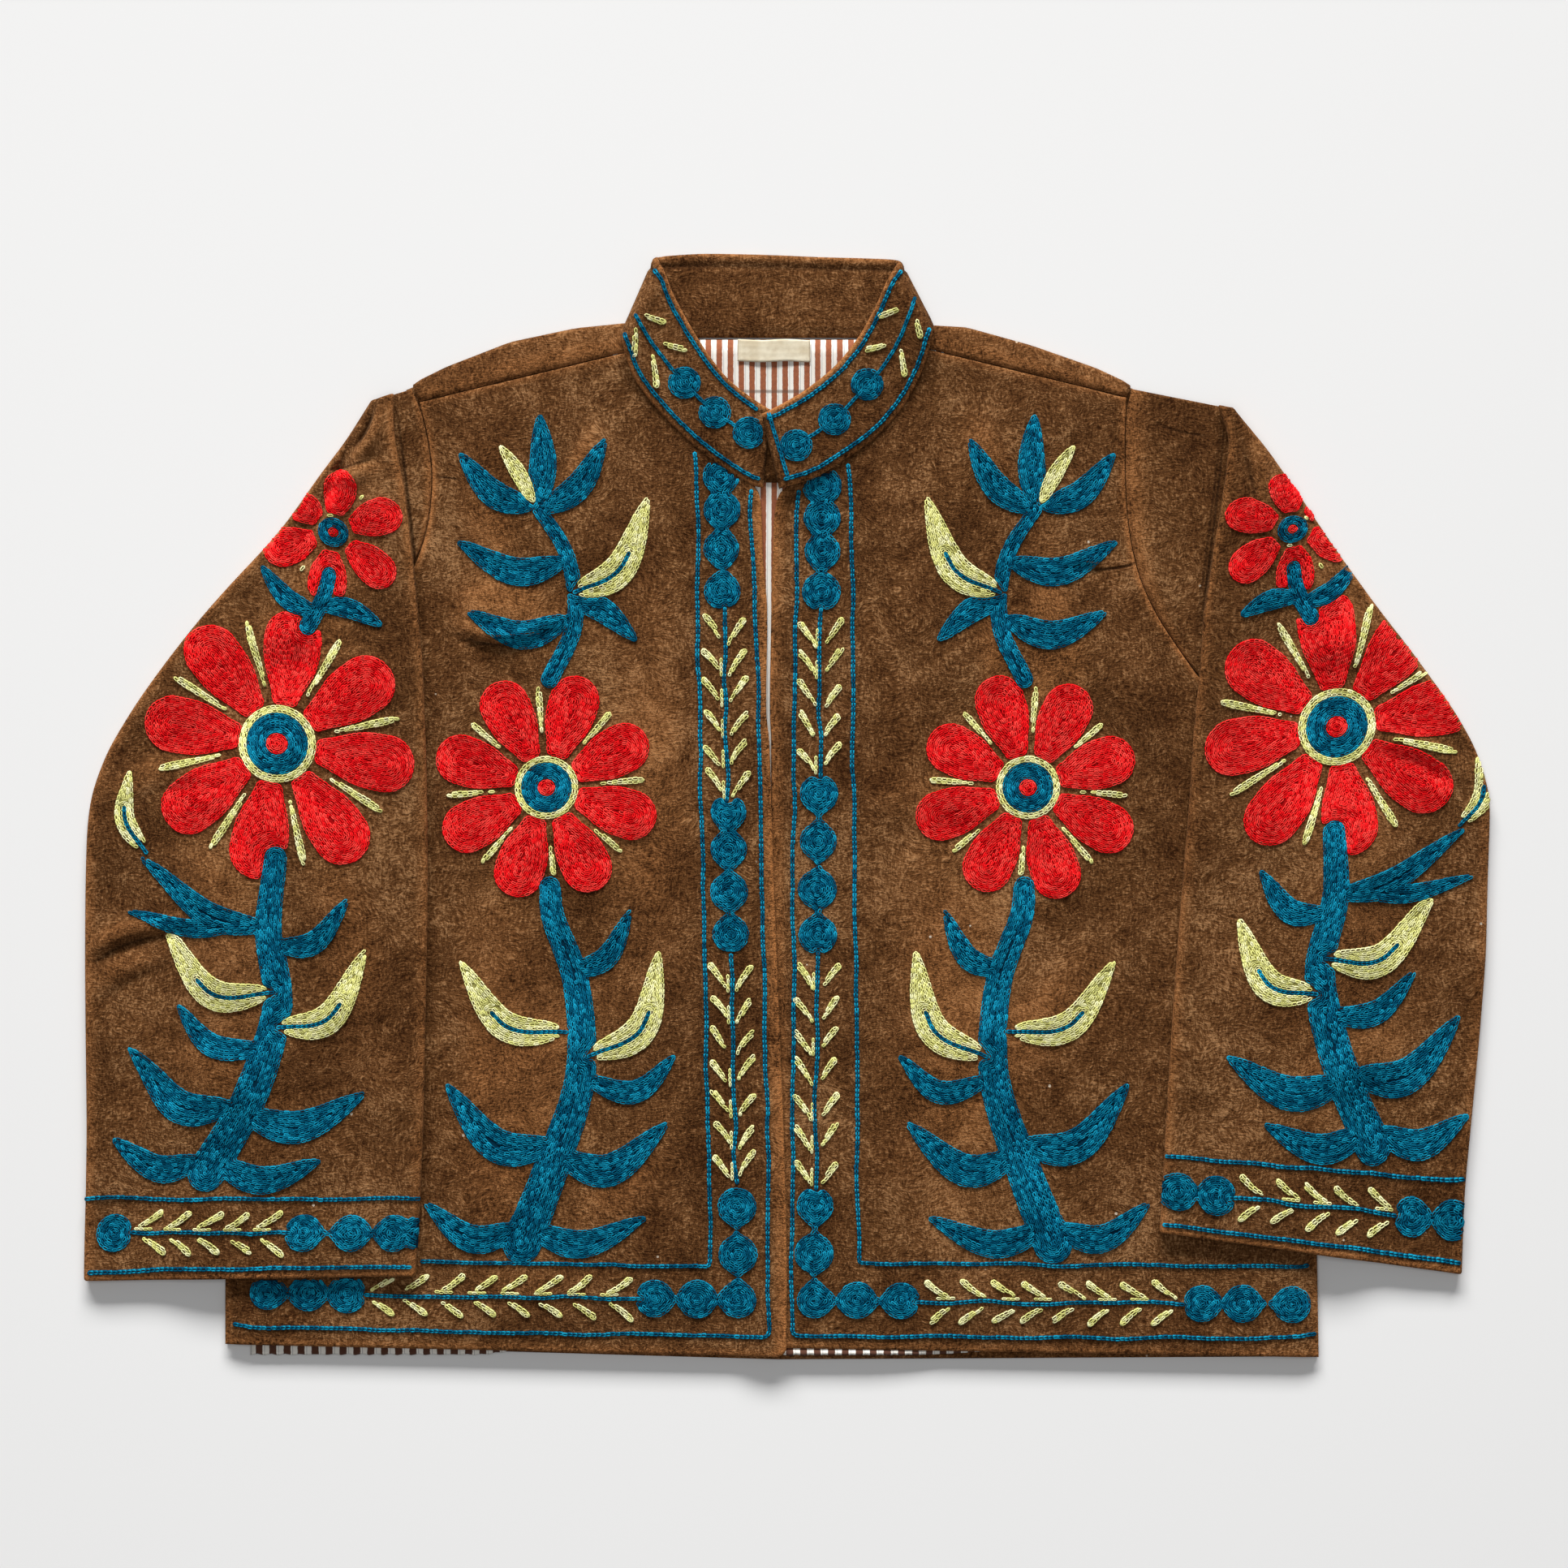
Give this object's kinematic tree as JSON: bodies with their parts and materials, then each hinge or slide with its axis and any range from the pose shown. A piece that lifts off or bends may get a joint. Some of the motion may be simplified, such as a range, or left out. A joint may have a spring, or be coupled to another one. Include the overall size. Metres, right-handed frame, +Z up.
{
  "type": "embroidered blazer",
  "caption": "Short velvet jacket with a standing collar, long sleeves, a striped lining and chain-stitch embroidery, laid flat with its fronts up.",
  "frame": {"origin": "middle of the whole laid jacket, on the surface that it lies on", "axes": "+X across the jacket towards the wearer's left sleeve, +Y from the hem towards the collar, +Z up out of the surface"},
  "size_m": [0.7958, 0.6262, 0.0148],
  "materials": {
    "velvet": "short brown velvet nap, rubbed paler at its edges and folds",
    "striped_lining": "plain woven cotton, white with narrow reddish-brown stripes",
    "cream_tape": "fine woven cream tape",
    "blue_thread": "softly twisted blue embroidery yarn in chain stitch",
    "red_thread": "softly twisted red embroidery yarn in chain stitch",
    "lime_thread": "softly twisted pale lime embroidery yarn in chain stitch"
  },
  "bodies": {
    "root": {"back": "velvet", "back_lining": "striped_lining", "front_right": "velvet", "front_left": "velvet", "sleeve_right": "velvet", "sleeve_left": "velvet", "collar": "velvet", "neck_label": "cream_tape"}
  },
  "joints": []
}
